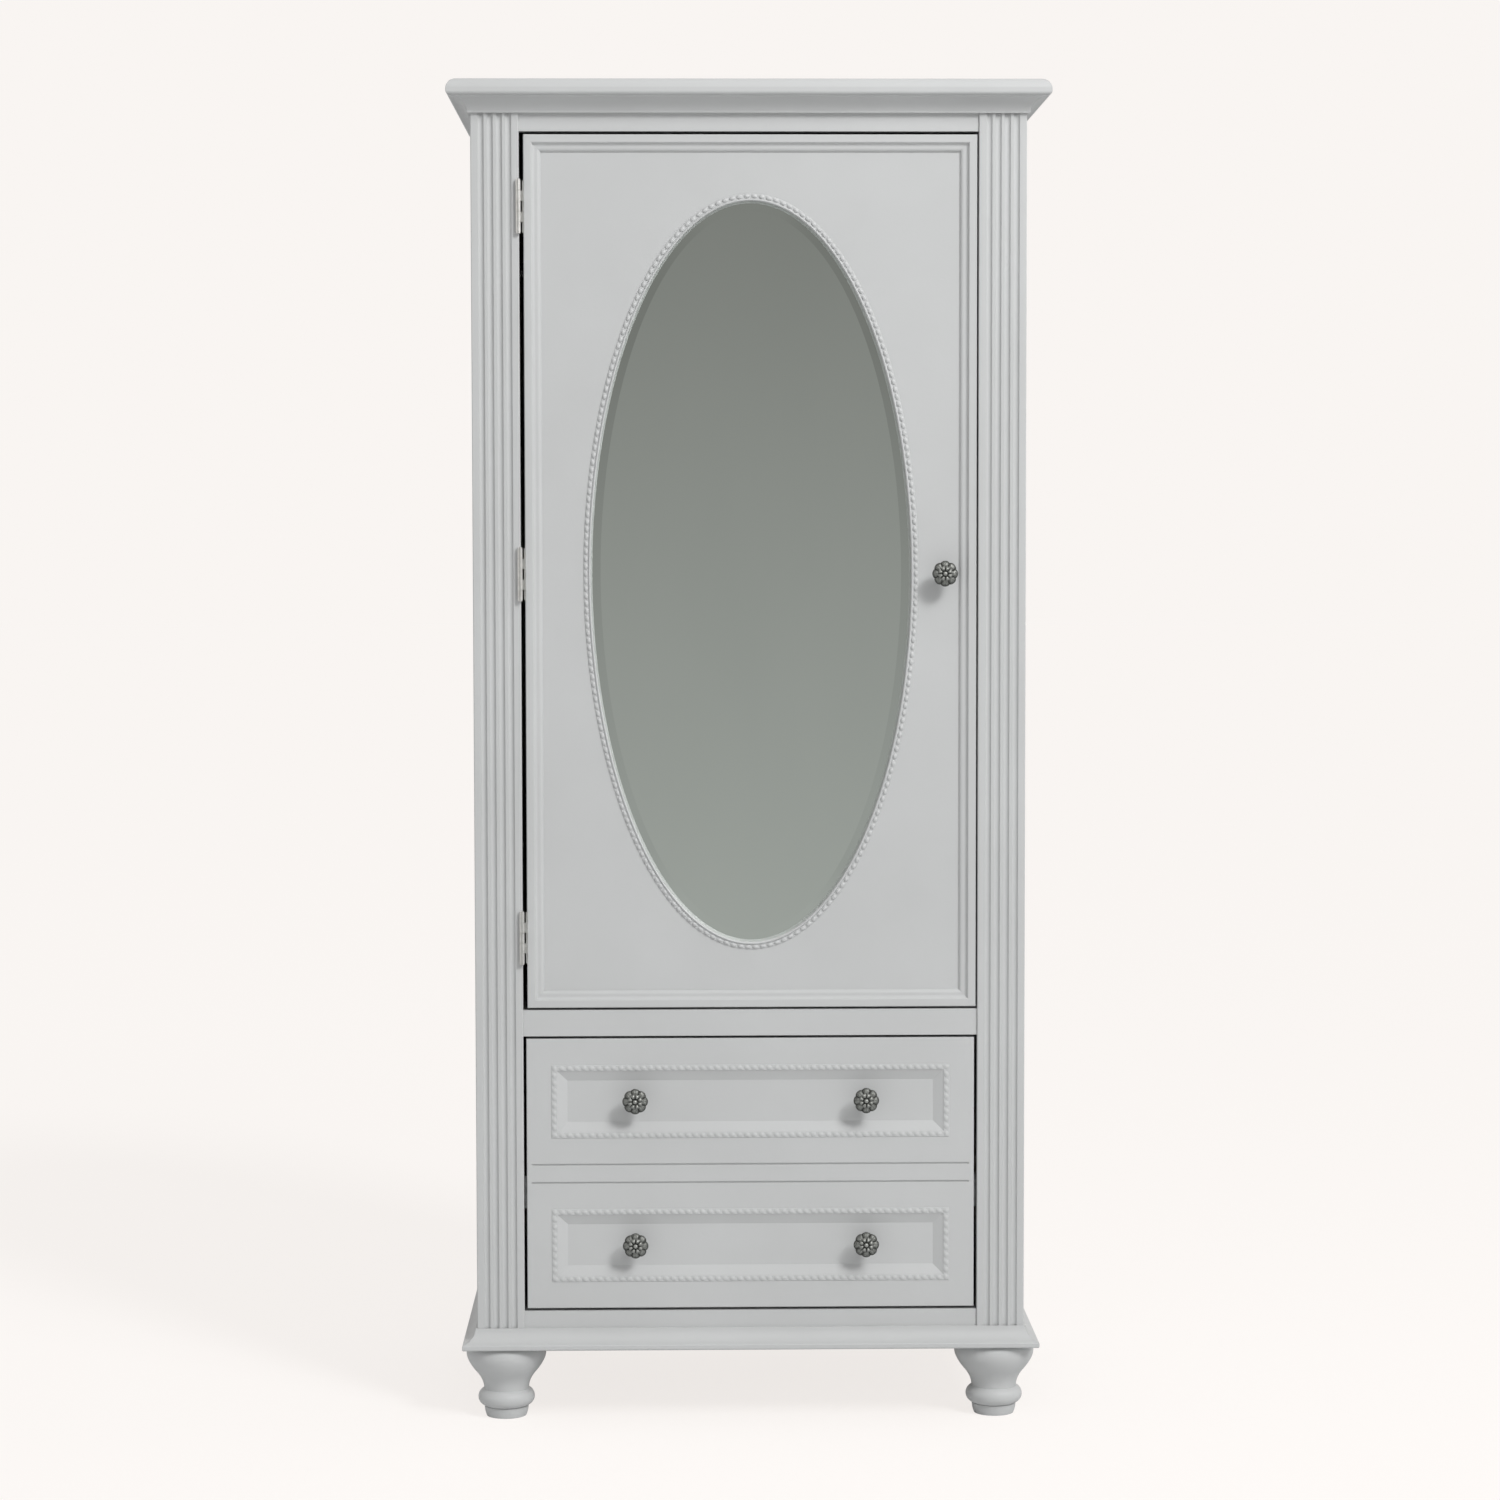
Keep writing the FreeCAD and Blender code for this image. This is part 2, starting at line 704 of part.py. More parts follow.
def door_moulding(name):
    """One of the four mitred runs around the door."""
    width = door_moulding_width
    depth = door_field_y - door_moulding_height
    places = {
        "left": lambda u, h: Vector(door_left + u, door_field_y - h, door_low),
        "right": lambda u, h: Vector(door_right - u, door_field_y - h, door_low),
        "bottom": lambda u, h: Vector(door_left, door_field_y - h, door_low + u),
        "top": lambda u, h: Vector(door_left, door_field_y - h, door_high - u),
    }
    upright = name in SIDES
    along = Z_AXIS * (door_high - door_low) if upright else X_AXIS * (door_right - door_left)
    run = door_moulding_section(places[name]).extrude(along)
    ends = {
        "left": ((door_left, door_low), (door_left, door_high)),
        "right": ((door_right, door_low), (door_right, door_high)),
        "bottom": ((door_left, door_low), (door_right, door_low)),
        "top": ((door_left, door_high), (door_right, door_high)),
    }

    def corner(x, z):
        return Vector(x, depth, z)

    def mitre(x, z):
        return corner(x + math.copysign(width, door_mid_x - x), z + math.copysign(width, door_mid_z - z))
    start, end = ends[name]
    face = [corner(*start), corner(*end), mitre(*end), mitre(*start)]
    return run.common(prism(face, Y_AXIS * door_moulding_height))


def mirror_bead_ring():
    """Raised ring around the mirror; its pearls are cut into this band."""
    front = door_field_y - bead_height
    ring = ellipse_slab(bead_ring_width, front, door_field_y).cut(ellipse_slab(0.0, front, door_field_y))
    return ease_front(ring, front, bead_rounding)


def mirror_glass():
    """Oval plate whose front is ground to a wide shallow bevel."""
    plate = ellipse_slab(mirror_cover, glass_edge_y, glass_edge_y + mirror_edge)
    rims = []
    for inset, y in ((0.0, glass_edge_y), (mirror_bevel, glass_edge_y - mirror_bevel_drop)):
        grow = mirror_cover - inset
        rims.append(ellipse_face(mirror_half_width + grow, mirror_half_height + grow, y).OuterWire)
    return plate.fuse(Part.makeLoft(rims, True)).removeSplitter()


def mirror_backing():
    return ellipse_slab(mirror_cover, glass_edge_y + mirror_edge, door_back_y)


def clip_places():
    """Points on the rebate's edge and the outward directions of the clips there."""
    places = []
    half_x = mirror_half_width + mirror_rebate
    half_z = mirror_half_height + mirror_rebate
    for index in range(clip_count):
        turn = 2 * math.pi * (index + 0.5) / clip_count
        point = Vector(door_mid_x + half_x * math.cos(turn), door_back_y,
                       door_mid_z + half_z * math.sin(turn))
        outward = Vector(math.cos(turn) / half_x, 0, math.sin(turn) / half_z).normalize()
        places.append((point, outward))
    return places


def mirror_clips():
    """Flat clips screwed to the slab that hold the backing and glass in the rebate."""
    clips = []
    for point, outward in clip_places():
        across = outward.cross(Y_AXIS) * (clip_width / 2)
        near = point - outward * clip_overlap
        far = point + outward * (clip_length - clip_overlap)
        corners = [near - across, far - across, far + across, near + across]
        clips.append(prism(corners, Y_AXIS * clip_thickness))
    return Part.makeCompound(clips)


# ---- knobs ---------------------------------------------------------------------------
def knob(seat):
    """Turned knob with a broad domed face, bored for its screw."""
    x, y, z = seat

    def place(radius, out):
        return Vector(x + radius, y - out, z)
    reach = knob_length
    brim = reach - knob_dome_height
    dome_radius = (knob_rim_radius ** 2 + knob_dome_height ** 2) / (2 * knob_dome_height)
    dome_centre = reach - dome_radius
    half_rim = knob_rim_radius / 2
    dome_middle = (half_rim, dome_centre + math.sqrt(dome_radius ** 2 - half_rim ** 2))
    face = section(place, (0.0, 0.0), (knob_foot_radius, 0.0), (knob_foot_radius, 3.0),
                   ((knob_neck_radius, 9.0), (knob_neck_radius + 2.0, reach - 14.0)),
                   ((knob_radius - 3.0, reach - 11.0), (knob_radius, reach - 7.0)),
                   ((knob_radius - 0.6, brim - 1.2), (knob_rim_radius, brim)), (dome_middle, (0.0, reach)))
    seat_centre = Vector(x, y, z)
    bore = Part.makeCylinder(knob_screw_radius + screw_fit, knob_bore_depth, seat_centre, Y_AXIS * -1)
    return face.revolve(seat_centre, Y_AXIS, 360).cut(bore)


# ---- drawer --------------------------------------------------------------------------
def recess(level):
    """Sunk field of one mock drawer: sloping sides down to a flat floor."""
    half_x = bead_half_width - bead_strip_width / 2
    half_z = bead_half_height - bead_strip_width / 2
    rims = []
    for inset, y in ((0.0, rail_face_y), (recess_slope, recess_floor_y)):
        corners = [(-1, -1), (1, -1), (1, 1), (-1, 1), (-1, -1)]
        points = [Vector(i * (half_x - inset), y, level + k * (half_z - inset)) for i, k in corners]
        rims.append(Part.makePolygon(points))
    return Part.makeLoft(rims, True, True)


def drawer_front():
    """One deep front, sunk and grooved to look like two drawers."""
    slab = box(-drawer_half, drawer_half, rail_face_y, drawer_back_y, drawer_low, drawer_high)
    slab = ease_front(slab, rail_face_y, eased_edge)
    cuts = [recess(level) for level in section_levels]
    reach = drawer_half - groove_end_margin
    for lift in (-1, 1):
        z = drawer_mid_z + lift * mock_strip_height / 2
        cuts.append(box(-reach, reach, rail_face_y, rail_face_y + groove_depth,
                        z - groove_width / 2, z + groove_width / 2))
    return slab.cut(cuts)


def drawer_bead_frames():
    """Raised strips around the two sunk fields; their pearls are cut into these bands."""
    frames = []
    half_strip = bead_strip_width / 2
    front = rail_face_y - bead_height
    for level in section_levels:
        rims = []
        for grow in (half_strip, -half_strip):
            x = bead_half_width + grow
            z = bead_half_height + grow
            rims.append(box(-x, x, front, rail_face_y, level - z, level + z))
        outer, inner = rims
        frames.append(ease_front(outer.cut(inner), front, bead_rounding))
    return Part.makeCompound(frames)


def drawer_bottom():
    reach_x = box_inner + drawer_groove_depth - drawer_groove_end_gap
    grow_y = drawer_groove_depth - drawer_groove_end_gap
    z = box_low + drawer_bottom_height
    return box(-reach_x, reach_x, box_front_y - grow_y, box_end_y - drawer_board + grow_y,
               z, z + drawer_bottom_thickness)


def bottom_groove():
    """Room for the drawer bottom in the boards around it."""
    reach_x = box_inner + drawer_groove_depth
    z = box_low + drawer_bottom_height - drawer_groove_fit
    return box(-reach_x, reach_x, box_front_y - drawer_groove_depth,
               box_end_y - drawer_board + drawer_groove_depth,
               z, z + drawer_bottom_thickness + 2 * drawer_groove_fit)


def drawer_side(side):
    side_board = box(side * box_inner, side * box_half, drawer_back_y, box_end_y, box_low, box_high)
    return side_board.cut(bottom_groove())


def drawer_cross_board(front_y):
    cross = box(-box_inner, box_inner, front_y, front_y + drawer_board, box_low, box_high)
    return cross.cut(bottom_groove())


# ---- telescopic slides -----------------------------------------------------------------
def channel(side, web_x, lip_x, height):
    """Length of channel with its web at web_x and both flanges reaching to lip_x."""
    way = math.copysign(slide_sheet, lip_x - web_x)
    low = slide_z - height / 2
    high = slide_z + height / 2
    front = drawer_back_y + slide_gap
    outer = box(side * web_x, side * lip_x, front, box_end_y, low, high)
    hollow = box(side * (web_x + way), side * lip_x, front, box_end_y,
                 low + slide_sheet, high - slide_sheet)
    return outer.cut(hollow)


def slide_channels(side):
    """Cabinet, middle and drawer members, nested with a running gap."""
    step = slide_sheet + slide_gap
    cabinet = channel(side, opening_half, box_half + step, slide_height)
    middle = channel(side, opening_half - step, box_half + step, slide_height - 2 * step)
    drawer = channel(side, box_half, opening_half - 2 * step - slide_gap, slide_height - 4 * step)
    return {"cabinet": cabinet, "middle": middle, "drawer": drawer}


def slide_packer(side):
    """Block that brings the cabinet member out flush with the drawer opening."""
    return box(side * opening_half, side * inner_half, frame_back_y, box_end_y,
               slide_z - packer_height / 2, slide_z + packer_height / 2)


# ---- the whole armoire -----------------------------------------------------------------
def carcass_parts():
    parts = {
        "back_panel": back_panel(),
        "top_panel": top_panel(),
        "fixed_shelf": level_board(door_opening_z),
        "bottom_panel": level_board(drawer_opening_z),
        "top_rail": rail(top_rail_z, top_board_z),
        "mid_rail": rail(mid_rail_z, door_opening_z),
        "bottom_rail": rail(foot_height, drawer_opening_z),
        "crown_front": wrap_front(crown_section, crown_overhang, crown_z, overall_height),
        "base_moulding_front": wrap_front(base_section, base_overhang, foot_height,
                                          foot_height + base_moulding_height),
        "hanging_rod": hanging_rod(),
        "rod_sockets": rod_sockets(),
        "hat_shelf": hat_shelf(),
        "shelf_pins": shelf_pin_group(),
        "magnetic_catch": magnetic_catch(),
        "hinge_frame_leaves": Part.makeCompound([frame_leaf(level) for level in hinge_levels]),
        "hinge_pins": Part.makeCompound([hinge_pin(level) for level in hinge_levels]),
        "slide_packers": Part.makeCompound([slide_packer(side) for side in SIDES.values()]),
    }
    for name, side in SIDES.items():
        parts["side_panel_" + name] = side_panel(side)
        parts["pilaster_" + name] = pilaster(side)
        parts["crown_" + name] = wrap_side(crown_section, crown_overhang, crown_z, overall_height, side)
        parts["base_moulding_" + name] = wrap_side(base_section, base_overhang, foot_height,
                                                   foot_height + base_moulding_height, side)
        parts["slide_" + name + "_cabinet"] = slide_channels(side)["cabinet"]
    return parts


def foot_parts():
    parts = {}
    blocks = []
    bolts = []
    for row, y in (("front", foot_front_y), ("rear", foot_back_y)):
        for name, side in SIDES.items():
            x = side * foot_x
            parts["foot_" + row + "_" + name] = foot(x, y)
            blocks.append(corner_block(x, y))
            bolts.append(foot_bolt(x, y))
    parts["foot_blocks"] = Part.makeCompound(blocks)
    parts["foot_bolts"] = Part.makeCompound(bolts)
    return parts


def door_parts():
    parts = {
        "door_panel": door_panel(),
        "mirror_bead_ring": mirror_bead_ring(),
        "mirror_glass": mirror_glass(),
        "mirror_backing": mirror_backing(),
        "mirror_clips": mirror_clips(),
        "door_knob": knob(door_knob_seat),
        "hinge_door_leaves": Part.makeCompound([door_leaf(level) for level in hinge_levels]),
        "strike_plate": strike_plate(),
    }
    for name in ("left", "right", "top", "bottom"):
        parts["door_moulding_" + name] = door_moulding(name)
    return parts


def drawer_parts():
    parts = {
        "drawer_front": drawer_front(),
        "drawer_bead_frames": drawer_bead_frames(),
        "drawer_box_front": drawer_cross_board(drawer_back_y),
        "drawer_back": drawer_cross_board(box_end_y - drawer_board),
        "drawer_bottom": drawer_bottom(),
        "drawer_knobs": Part.makeCompound([knob(seat) for seat in drawer_knob_seats()]),
    }
    for name, side in SIDES.items():
        parts["drawer_side_" + name] = drawer_side(side)
        parts["slide_" + name + "_drawer"] = slide_channels(side)["drawer"]
        parts["slide_" + name + "_middle"] = slide_channels(side)["middle"]
    return parts


def fastened(parts, screw_name, wood_places, knob_places):
    """The parts, drilled for their screws, with the screws as one more part."""
    screws, holes = screws_and_holes(wood_places, knob_places)
    done = {name: drilled(shape, holes) for name, shape in parts.items()}
    done[screw_name] = Part.makeCompound(screws)
    return done


def armoire():
    parts = fastened(carcass_parts(), "carcass_screws", carcass_screw_places(), [])
    parts.update(foot_parts())
    parts.update(fastened(door_parts(), "door_screws", door_screw_places(),
                          knob_screw_places([door_knob_seat], door_back_y)))
    parts.update(fastened(drawer_parts(), "drawer_screws", drawer_screw_places(),
                          knob_screw_places(drawer_knob_seats(), box_front_y)))
    return parts


os.makedirs("parts", exist_ok=True)
for part_name, part_shape in armoire().items():
    part_shape.exportStep("parts/" + part_name + ".step")
    print(part_name, len(part_shape.Solids), "solid(s),", round(part_shape.Volume / 1000), "cm3")
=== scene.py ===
# %% [markdown]
# # A painted armoire with an oval mirror
# The frame holds every board, moulding, hinge and slide at its real size. This script gives them
# their finishes and adds what a carver or a foundry would add: strings of pearls and cast knobs.
# Everything is in metres, with -Y to the front and +Z up.

# %% Load the fixed frame
import json
import math

import bmesh
import bpy
from mathutils import Matrix, Vector


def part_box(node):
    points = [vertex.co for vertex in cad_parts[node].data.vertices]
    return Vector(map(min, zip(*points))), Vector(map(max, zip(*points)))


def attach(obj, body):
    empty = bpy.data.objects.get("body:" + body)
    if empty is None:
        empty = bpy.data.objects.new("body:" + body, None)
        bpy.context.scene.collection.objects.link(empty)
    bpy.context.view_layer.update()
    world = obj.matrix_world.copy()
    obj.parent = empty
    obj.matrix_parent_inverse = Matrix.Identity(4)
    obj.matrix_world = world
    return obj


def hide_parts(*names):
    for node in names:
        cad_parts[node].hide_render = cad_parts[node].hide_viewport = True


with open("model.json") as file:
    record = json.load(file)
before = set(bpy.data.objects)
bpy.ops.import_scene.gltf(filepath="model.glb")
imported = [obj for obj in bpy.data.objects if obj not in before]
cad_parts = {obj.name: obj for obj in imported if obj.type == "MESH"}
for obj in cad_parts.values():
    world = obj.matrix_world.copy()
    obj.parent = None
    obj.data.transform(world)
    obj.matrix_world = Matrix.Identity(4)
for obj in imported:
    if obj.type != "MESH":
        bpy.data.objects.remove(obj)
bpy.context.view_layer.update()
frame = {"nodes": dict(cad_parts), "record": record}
record = frame["record"]

# %% [markdown]
# ## Camera
# A tall cabinet is best seen from some way off with a long lens, so that its sides stay upright.
# The camera stands a step to the left of the middle, at chest height, and looks slightly down.

# %% Camera
LENS_MM = 89.06
SENSOR_MM = 36.0
CAMERA_DISTANCE = 5.048
CAMERA_HEIGHT = 1.233
CAMERA_LEFT = 0.10
TILT_DOWN = math.radians(3.5)
ROLL = math.radians(0.09)

front_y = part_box("pilaster_left")[0].y


def add_camera():
    data = bpy.data.cameras.new("camera")
    data.lens = LENS_MM
    data.sensor_width = SENSOR_MM
    camera = bpy.data.objects.new("camera", data)
    bpy.context.collection.objects.link(camera)
    camera.location = (-CAMERA_LEFT, front_y - CAMERA_DISTANCE, CAMERA_HEIGHT)
    turn = math.atan2(CAMERA_LEFT, CAMERA_DISTANCE)
    aim = Matrix.Rotation(-turn, 4, "Z") @ Matrix.Rotation(math.pi / 2 - TILT_DOWN, 4, "X")
    camera.rotation_euler = (aim @ Matrix.Rotation(-ROLL, 4, "Z")).to_euler()
    bpy.context.scene.camera = camera


add_camera()
print("front plane at y =", round(front_y, 4))

# %% [markdown]
# ## Light, floor and background
# Soft light comes from all round. A sun with a wide angle, high on the right, models the flutes and
# mouldings evenly over the whole height. A softbox in the same direction stands nearer, so the door
# grows gently brighter towards it. The floor is pale and only keeps a faint shadow. For the camera
# and for shiny surfaces the world is a warm white.

# %% Light and stage
BACKGROUND = (0.947, 0.913, 0.888, 1.0)
SKY_STRENGTH = 0.50
SUN_STRENGTH = 0.98
SUN_ANGLE = math.radians(11)
SUN_FROM = Vector((0.78, -1.0, 0.98)).normalized()
SOFTBOX_POWER = 40.0
SOFTBOX_SIZE = 1.0
SOFTBOX_DISTANCE = 3.2
FLOOR_SHARE = 0.20
FLOOR_ALBEDO = 0.80
FLOOR_SIZE = 80.0


def add_world():
    world = bpy.data.worlds.new("studio")
    bpy.context.scene.world = world
    world.use_nodes = True
    nodes, links = world.node_tree.nodes, world.node_tree.links
    nodes.clear()
    seen = nodes.new("ShaderNodeBackground")
    seen.inputs["Color"].default_value = BACKGROUND
    lighting = nodes.new("ShaderNodeBackground")
    lighting.inputs["Strength"].default_value = SKY_STRENGTH
    lighting.inputs["Color"].default_value = (1.0, 1.0, 1.0, 1.0)
    path = nodes.new("ShaderNodeLightPath")
    either = nodes.new("ShaderNodeMath")
    either.operation = "MAXIMUM"
    links.new(path.outputs["Is Camera Ray"], either.inputs[0])
    links.new(path.outputs["Is Glossy Ray"], either.inputs[1])
    any_seen = nodes.new("ShaderNodeMath")
    any_seen.operation = "MAXIMUM"
    links.new(either.outputs[0], any_seen.inputs[0])
    links.new(path.outputs["Is Transmission Ray"], any_seen.inputs[1])
    mix = nodes.new("ShaderNodeMixShader")
    links.new(any_seen.outputs[0], mix.inputs[0])
    links.new(lighting.outputs[0], mix.inputs[1])
    links.new(seen.outputs[0], mix.inputs[2])
    links.new(mix.outputs[0], nodes.new("ShaderNodeOutputWorld").inputs["Surface"])


def add_sun():
    data = bpy.data.lights.new("window_light", "SUN")
    data.energy = SUN_STRENGTH
    data.angle = SUN_ANGLE
    lamp = bpy.data.objects.new("window_light", data)
    bpy.context.collection.objects.link(lamp)
    lamp.rotation_euler = SUN_FROM.to_track_quat("Z", "Y").to_euler()


def add_softbox():
    data = bpy.data.lights.new("softbox", "AREA")
    data.energy = SOFTBOX_POWER
    data.size = SOFTBOX_SIZE
    lamp = bpy.data.objects.new("softbox", data)
    bpy.context.collection.objects.link(lamp)
    door_low, door_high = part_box("door_panel")
    lamp.location = (door_low + door_high) / 2 + SUN_FROM * SOFTBOX_DISTANCE
    lamp.rotation_euler = SUN_FROM.to_track_quat("Z", "Y").to_euler()


def stage_plane(name, material, centre, width, depth, upright=False):
    """Flat oblong piece of the stage, lying or standing."""
    bm = bmesh.new()
    stand = Matrix.Rotation(math.pi / 2 if upright else 0.0, 4, "X")
    matrix = Matrix.Translation(centre) @ stand @ Matrix.Diagonal((width, depth, 1.0, 1.0))
    bmesh.ops.create_grid(bm, x_segments=1, y_segments=1, size=0.5, matrix=matrix)
    mesh = bpy.data.meshes.new(name)
    bm.to_mesh(mesh)
    bm.free()
    mesh.materials.append(material)
    plane = bpy.data.objects.new(name, mesh)
    bpy.context.collection.objects.link(plane)
    return plane


def floor_material():
    """Plain pale floor; what the camera sees of it is partly its own light, so shadows stay faint."""
    material = bpy.data.materials.new("studio_floor")
    material.use_nodes = True
    nodes, links = material.node_tree.nodes, material.node_tree.links
    nodes.clear()
    lit = SKY_STRENGTH + SUN_STRENGTH * SUN_FROM.z / math.pi
    bounce = nodes.new("ShaderNodeBsdfDiffuse")
    bounce.inputs["Color"].default_value = (FLOOR_ALBEDO, FLOOR_ALBEDO, FLOOR_ALBEDO, 1.0)
    shaded = nodes.new("ShaderNodeBsdfDiffuse")
    shaded.inputs["Color"].default_value = (FLOOR_SHARE, FLOOR_SHARE, FLOOR_SHARE, 1.0)
    own = nodes.new("ShaderNodeEmission")
    own.inputs["Color"].default_value = tuple(c - FLOOR_SHARE * lit for c in BACKGROUND[:3]) + (1.0,)
    both = nodes.new("ShaderNodeAddShader")
    links.new(shaded.outputs[0], both.inputs[0])
    links.new(own.outputs[0], both.inputs[1])
    path = nodes.new("ShaderNodeLightPath")
    mix = nodes.new("ShaderNodeMixShader")
    links.new(path.outputs["Is Camera Ray"], mix.inputs[0])
    links.new(bounce.outputs[0], mix.inputs[1])
    links.new(both.outputs[0], mix.inputs[2])
    links.new(mix.outputs[0], nodes.new("ShaderNodeOutputMaterial").inputs["Surface"])
    return material


def add_floor():
    stage_plane("floor", floor_material(), (0.0, 0.0, 0.0), FLOOR_SIZE, FLOOR_SIZE)


bpy.context.scene.view_settings.view_transform = "Standard"
add_world()
add_sun()
add_softbox()
add_floor()
print("sun from", [round(c, 2) for c in SUN_FROM])

# %% [markdown]
# ## What the mirror sees
# A mirror has no colour of its own: it needs a room in front of it. A photographer puts a large grey
# card there;
# this one glows, shows only in reflections and lights nothing, so the mirror shows a painted reflection
# of it. Its glow is darker at its top and edges, painted shade, so the ground edge of the glass, which
# looks further out, reads as a darker band.

# %% The card in front of the mirror
CARD_Y = -4.2
CARD_HALF_WIDTH = 3.2
CARD_TOP = 4.5
CARD_FOOT = -1.2
# Colours of the glowing card seen only in the mirror: a painted reflection, darker towards the top and
# edges as painted shade.
CARD_LIGHT = (0.368, 0.382, 0.364, 1.0)
CARD_DARK = (0.220, 0.225, 0.211, 1.0)
CARD_EDGE_SHADE = 0.87


def card_material():
    material = bpy.data.materials.new("glowing_reflection_card")
    material.use_nodes = True
    nodes, links = material.node_tree.nodes, material.node_tree.links
    nodes.clear()
    place = nodes.new("ShaderNodeTexCoord")
    split = nodes.new("ShaderNodeSeparateXYZ")
    links.new(place.outputs["Object"], split.inputs[0])
    height = nodes.new("ShaderNodeMapRange")
    height.inputs["From Min"].default_value = 0.2
    height.inputs["From Max"].default_value = 2.0
    links.new(split.outputs["Z"], height.inputs["Value"])
    tone = nodes.new("ShaderNodeMix")
    tone.data_type = "RGBA"
    tone.inputs[6].default_value = CARD_LIGHT
    tone.inputs[7].default_value = CARD_DARK
    links.new(height.outputs[0], tone.inputs[0])
    side = nodes.new("ShaderNodeMath")
    side.operation = "ABSOLUTE"
    links.new(split.outputs["X"], side.inputs[0])
    aside = nodes.new("ShaderNodeMapRange")
    aside.inputs["From Min"].default_value = 0.60
    aside.inputs["From Max"].default_value = 1.05
    aside.inputs["To Min"].default_value = 1.0
    aside.inputs["To Max"].default_value = CARD_EDGE_SHADE
    links.new(side.outputs[0], aside.inputs["Value"])
    # The card glows: its darker top and darker edges are painted shade, which the mirror shows as a
    # painted reflection.
    glow = nodes.new("ShaderNodeEmission")
    links.new(tone.outputs[2], glow.inputs["Color"])
    links.new(aside.outputs[0], glow.inputs["Strength"])
    links.new(glow.outputs[0], nodes.new("ShaderNodeOutputMaterial").inputs["Surface"])
    return material


def only_in_reflections(plane):
    plane.visible_camera = False
    plane.visible_diffuse = False
    plane.visible_shadow = False
    plane.visible_transmission = False


glowing_reflection_card = card_material()
only_in_reflections(stage_plane("card_wall", glowing_reflection_card, (0.0, CARD_Y, CARD_TOP / 2),
                                2 * CARD_HALF_WIDTH, CARD_TOP, upright=True))
only_in_reflections(stage_plane("card_floor", glowing_reflection_card, (0.0, (CARD_Y + CARD_FOOT) / 2, 0.004),
                                2 * CARD_HALF_WIDTH, CARD_FOOT - CARD_Y))
print("card at y =", CARD_Y)

# %% [markdown]
# ## A small kit for finishes
# Every finish starts from one Principled shader. Noise that reads Object coordinates moves its
# colour, roughness and surface a little, because no real surface is even. A board's Object
# coordinates are metres on the real piece, so a pattern's scale can be given as its real size.

# %% Finish kit
class Finish:
    """A Principled material under construction, with short ways to vary it."""

    def __init__(self, name, **sockets):
        self.material = bpy.data.materials.new(name)
        self.material.use_nodes = True
        self.nodes = self.material.node_tree.nodes
        self.links = self.material.node_tree.links
        self.shader = self.nodes["Principled BSDF"]
        self.place = self.nodes.new("ShaderNodeTexCoord")
        self.normal = None
        for socket, value in sockets.items():
            self.shader.inputs[socket.replace("_", " ")].default_value = value

    def mapped(self, scale=(1.0, 1.0, 1.0), turn=(0.0, 0.0, 0.0)):
        node = self.nodes.new("ShaderNodeMapping")
        node.inputs["Scale"].default_value = scale
        node.inputs["Rotation"].default_value = turn
        self.links.new(self.place.outputs["Object"], node.inputs["Vector"])
        return node.outputs["Vector"]

    def noise(self, size, detail=3.0, vector=None, distortion=0.0):
        """Noise whose lumps are about size metres across."""
        node = self.nodes.new("ShaderNodeTexNoise")
        node.inputs["Scale"].default_value = 1.0 / size
        node.inputs["Detail"].default_value = detail
        node.inputs["Distortion"].default_value = distortion
        self.links.new(vector or self.place.outputs["Object"], node.inputs["Vector"])
        return node.outputs["Fac"]

    def spread(self, value, low, high, start=0.3, stop=0.7):
        """The value's range from start to stop, stretched to low to high."""
        node = self.nodes.new("ShaderNodeMapRange")
        node.inputs["From Min"].default_value = start
        node.inputs["From Max"].default_value = stop
        node.inputs["To Min"].default_value = low
        node.inputs["To Max"].default_value = high
        self.links.new(value, node.inputs["Value"])
        return node.outputs[0]

    def blend(self, value, one, other):
        """Colour between one and other, where each is a colour or an output."""
        node = self.nodes.new("ShaderNodeMix")
        node.data_type = "RGBA"
        self.links.new(value, node.inputs[0])
        for socket, colour in ((node.inputs[6], one), (node.inputs[7], other)):
            if isinstance(colour, tuple):
                socket.default_value = colour
            else:
                self.links.new(colour, socket)
        return node.outputs[2]

    def colour(self, output):
        self.links.new(output, self.shader.inputs["Base Color"])

    def roughness(self, output):
        self.links.new(output, self.shader.inputs["Roughness"])

    def bump(self, height, depth, strength=1.0):
        """Adds relief of about depth metres; later relief lies on top of earlier relief."""
        node = self.nodes.new("ShaderNodeBump")
        node.inputs["Strength"].default_value = strength
        node.inputs["Distance"].default_value = depth
        self.links.new(height, node.inputs["Height"])
        if self.normal:
            self.links.new(self.normal, node.inputs["Normal"])
        self.normal = node.outputs["Normal"]
        self.links.new(self.normal, self.shader.inputs["Normal"])


def tint(red, green, blue):
    return (red, green, blue, 1.0)


print("finish kit ready")

# %% [markdown]
# ## Paint
# The armoire is painted in a satin off-white. Sprayed paint is not flat: it has a faint orange-peel
# surface, slow changes of tone over a hand's breadth, and a sheen that varies. Three noises of
# different sizes give those. The boards are cut with sharp edges in the frame, so a Bevel node
# softens how light turns over them, as paint does when it draws back from an edge.

# %% Paint
PAINT = tint(0.563, 0.571, 0.571)
PAINT_DEEP = tint(0.534, 0.541, 0.540)
PAINT_INSIDE = tint(0.580, 0.580, 0.565)
PAINT_INSIDE_DEEP = tint(0.530, 0.530, 0.510)


def paint(name, light, deep, rough, edge=0.0008):
    finish = Finish(name, Specular_IOR_Level=0.35)
    finish.colour(finish.blend(finish.spread(finish.noise(0.22, 4.0), 0.0, 1.0), light, deep))
    finish.roughness(finish.spread(finish.noise(0.05, 3.0), rough - 0.05, rough + 0.07))
    soft_edge = finish.nodes.new("ShaderNodeBevel")
    soft_edge.samples = 4
    soft_edge.inputs["Radius"].default_value = edge
    finish.normal = soft_edge.outputs["Normal"]
    finish.bump(finish.noise(0.004, 2.0), 0.00006)
    finish.bump(finish.noise(0.0009, 2.0), 0.00002)
    return finish.material


